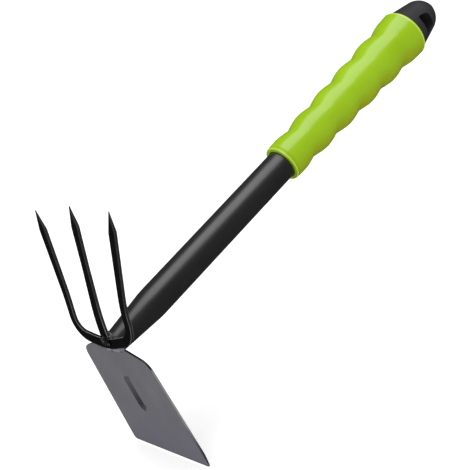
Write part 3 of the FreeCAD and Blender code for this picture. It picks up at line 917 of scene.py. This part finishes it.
class HOE_OT_head(bpy.types.Operator):
    """Paint the blade and the three tines and ease their edges"""

    bl_idname = "hoe.head"
    bl_label = "Blade and tines"

    def execute(self, context):
        settings = context.scene.hoe_head
        blade = make_blade_paint(settings)
        polished_copy("hoe_blade", "painted_blade", blade, settings.edge_easing)
        tines = make_tine_paint(settings)
        easing = settings.tine_easing
        polished_copy("outer_tines", "painted_outer_tines", tines, easing, clamp=False)
        polished_copy("middle_tine", "painted_middle_tine", tines, easing)
        return {"FINISHED"}


class HOE_OT_welds(bpy.types.Operator):
    """Lay the rippled beads round the tube's end and under the bridge, and the lump at the middle tine"""

    bl_idname = "hoe.welds"
    bl_label = "Weld beads"

    def execute(self, context):
        settings = context.scene.hoe_head
        foot_paint = make_weld_paint("foot_paint", settings.weld_color)
        ring_paint = make_weld_paint("ring_paint", settings.ring_color)
        crescent_paint = make_weld_paint("crescent_paint", settings.blade_color)

        ring_values = {
            "Arc radius": RING_RADIUS,
            "Start": 0.0,
            "Sweep": math.tau,
            "Bead radius": settings.bead_radius,
            "Ripples": 26.0,
            "Ripple depth": settings.ripple_depth,
            "Taper": 0.0,
            "Lumps": 0.12,
            "Seed": 3.0,
        }
        bead = make_bead_tree(ring_values)
        at_tube_end = head_place(RING_INSET, (FORK_LEAN + BLADE_LEAN) / 2)
        ring = grown("ring_bead", bead, ring_values, ring_paint, at_tube_end)
        wear(ring, "shaft_weld")

        half_sweep = NECK_ARC_HALF_LENGTH / NECK_ARC_RADIUS
        crescent_values = {
            **ring_values,
            "Arc radius": NECK_ARC_RADIUS,
            "Start": -math.pi / 2 - half_sweep,
            "Sweep": 2 * half_sweep,
            "Ripples": 17.0,
            "Taper": 1.0,
            "Lumps": 0.16,
            "Seed": 8.0,
        }
        arc_middle = NECK_ARC_RADIUS - NECK_ARC_DROP
        under_bridge = head_place(BLADE_SETBACK, BLADE_LEAN, up=arc_middle, behind=HALF_BLADE_THICKNESS)
        crescent = grown("crescent_bead", bead, crescent_values, crescent_paint, under_bridge)
        wear(crescent, "blade_weld")

        lump_values = {
            "Half width": 5.4 * MM,
            "Half height": 4.4 * MM,
            "Half depth": 2.5 * MM,
            "Lumps": 0.62,
            "Seed": 5.0,
        }
        at_foot = head_place(FORK_SETBACK, FORK_LEAN, FORK_TURN, up=FOOT_HEIGHT)
        foot = grown("foot_lump", make_lump_tree(lump_values), lump_values, foot_paint, at_foot)
        wear(foot, "middle_tine_weld")
        return {"FINISHED"}


class HOE_OT_studio(bpy.types.Operator):
    """Set the floor, the white backdrop, the soft lamps and the camera"""

    bl_idname = "hoe.studio"
    bl_label = "Studio"

    def execute(self, context):
        settings = context.scene.hoe_studio
        make_camera()
        floor = make_floor(settings)
        make_backdrop(settings)
        key = make_lamp("key_lamp", KEY_WAY, KEY_DISTANCE, KEY_SIZE, settings.key_power)
        fill = make_lamp("fill_lamp", FILL_WAY, FILL_DISTANCE, FILL_SIZE, settings.fill_power)
        context.scene.view_settings.view_transform = "Standard"
        return {"FINISHED"}


class HOE_PT_panel(bpy.types.Panel):
    """The steps and settings of the double hoe"""

    bl_label = "Double hoe"
    bl_idname = "HOE_PT_panel"
    bl_space_type = "VIEW_3D"
    bl_region_type = "UI"
    bl_category = "Double hoe"

    def draw(self, context):
        for name, operators in STEPS:
            box = self.layout.box()
            group = getattr(context.scene, name)
            for key in group.__annotations__:
                box.prop(group, key)
            for operator in operators:
                box.operator(operator.bl_idname)


STEPS = [
    ("hoe_grip", [HOE_OT_grip]),
    ("hoe_head", [HOE_OT_shaft, HOE_OT_head, HOE_OT_welds]),
    ("hoe_studio", [HOE_OT_studio]),
]
CLASSES = [
    GripSettings, HeadSettings, StudioSettings, HOE_OT_grip, HOE_OT_shaft, HOE_OT_head, HOE_OT_welds,
    HOE_OT_studio, HOE_PT_panel,
]


def register():
    for item in CLASSES:
        bpy.utils.register_class(item)
    bpy.types.Scene.hoe_grip = PointerProperty(type=GripSettings)
    bpy.types.Scene.hoe_head = PointerProperty(type=HeadSettings)
    bpy.types.Scene.hoe_studio = PointerProperty(type=StudioSettings)


def unregister():
    del bpy.types.Scene.hoe_grip
    del bpy.types.Scene.hoe_head
    del bpy.types.Scene.hoe_studio
    for item in reversed(CLASSES):
        bpy.utils.unregister_class(item)


def main():
    register()
    bpy.ops.hoe.grip()
    bpy.ops.hoe.shaft()
    bpy.ops.hoe.head()
    bpy.ops.hoe.welds()
    bpy.ops.hoe.studio()


if __name__ == "__main__":
    main()
